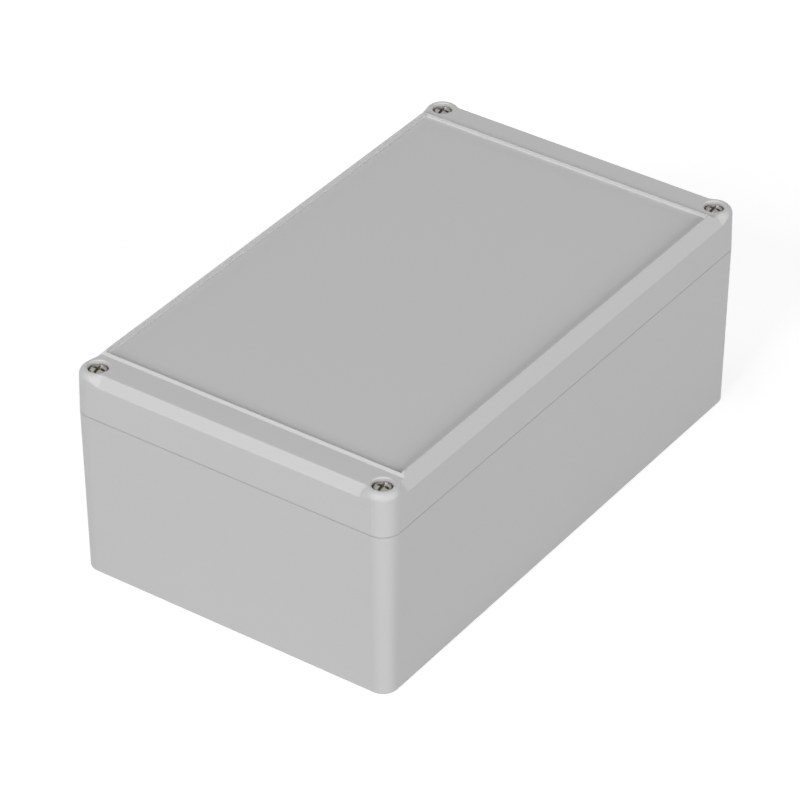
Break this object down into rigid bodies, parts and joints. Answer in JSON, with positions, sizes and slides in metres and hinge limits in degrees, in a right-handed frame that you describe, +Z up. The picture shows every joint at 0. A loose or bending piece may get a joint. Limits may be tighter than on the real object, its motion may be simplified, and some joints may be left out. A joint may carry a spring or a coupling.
{
  "type": "plastic project box",
  "caption": "Sealed light grey plastic project box with a deep base, a bevelled lid with a large recessed top, and captive corner screws.",
  "frame": {"origin": "middle of the underside, on the surface the box stands on", "axes": "+X along the box, +Y across it, +Z up through the lid"},
  "size_m": [0.2, 0.12, 0.0774],
  "materials": {
    "housing_plastic": "light grey moulded ABS with a fine even spark texture",
    "seal_rubber": "matte black seal",
    "screw_steel": "stainless steel, turned",
    "insert_brass": "turned brass",
    "washer_nylon": "natural nylon"
  },
  "bodies": {
    "base": {"base": "housing_plastic", "insert_front_left": "insert_brass", "insert_front_right": "insert_brass", "insert_back_left": "insert_brass", "insert_back_right": "insert_brass"},
    "lid": {"lid": "housing_plastic", "gasket": "seal_rubber"},
    "washer_front_left": {"washer_front_left": "washer_nylon"},
    "screw_front_left": {"screw_front_left": "screw_steel"},
    "washer_front_right": {"washer_front_right": "washer_nylon"},
    "screw_front_right": {"screw_front_right": "screw_steel"},
    "washer_back_left": {"washer_back_left": "washer_nylon"},
    "screw_back_left": {"screw_back_left": "screw_steel"},
    "washer_back_right": {"washer_back_right": "washer_nylon"},
    "screw_back_right": {"screw_back_right": "screw_steel"}
  },
  "joints": [
    {"name": "lid_lift", "type": "slide", "parent": "base", "child": "lid", "axis": [0, 0, 1], "range_m": [0, 0.08]},
    {"name": "screw_front_left_rise", "type": "slide", "parent": "lid", "child": "washer_front_left", "axis": [0, 0, 1], "range_m": [0, 0.0074]},
    {"name": "screw_front_left_turn", "type": "hinge", "parent": "washer_front_left", "child": "screw_front_left", "pos_m": [-0.0937, -0.0537, 0.0606], "axis": [0, 0, 1], "range_deg": [0, 4440]},
    {"name": "screw_front_right_rise", "type": "slide", "parent": "lid", "child": "washer_front_right", "axis": [0, 0, 1], "range_m": [0, 0.0074]},
    {"name": "screw_front_right_turn", "type": "hinge", "parent": "washer_front_right", "child": "screw_front_right", "pos_m": [0.0937, -0.0537, 0.0606], "axis": [0, 0, 1], "range_deg": [0, 4440]},
    {"name": "screw_back_left_rise", "type": "slide", "parent": "lid", "child": "washer_back_left", "axis": [0, 0, 1], "range_m": [0, 0.0074]},
    {"name": "screw_back_left_turn", "type": "hinge", "parent": "washer_back_left", "child": "screw_back_left", "pos_m": [-0.0937, 0.0537, 0.0606], "axis": [0, 0, 1], "range_deg": [0, 4440]},
    {"name": "screw_back_right_rise", "type": "slide", "parent": "lid", "child": "washer_back_right", "axis": [0, 0, 1], "range_m": [0, 0.0074]},
    {"name": "screw_back_right_turn", "type": "hinge", "parent": "washer_back_right", "child": "screw_back_right", "pos_m": [0.0937, 0.0537, 0.0606], "axis": [0, 0, 1], "range_deg": [0, 4440]}
  ],
  "couplings": [
    {"joint": "screw_front_left_turn", "follows": "screw_front_left_rise", "rad_per_m": 10472},
    {"joint": "screw_front_right_turn", "follows": "screw_front_right_rise", "rad_per_m": 10472},
    {"joint": "screw_back_left_turn", "follows": "screw_back_left_rise", "rad_per_m": 10472},
    {"joint": "screw_back_right_turn", "follows": "screw_back_right_rise", "rad_per_m": 10472}
  ]
}
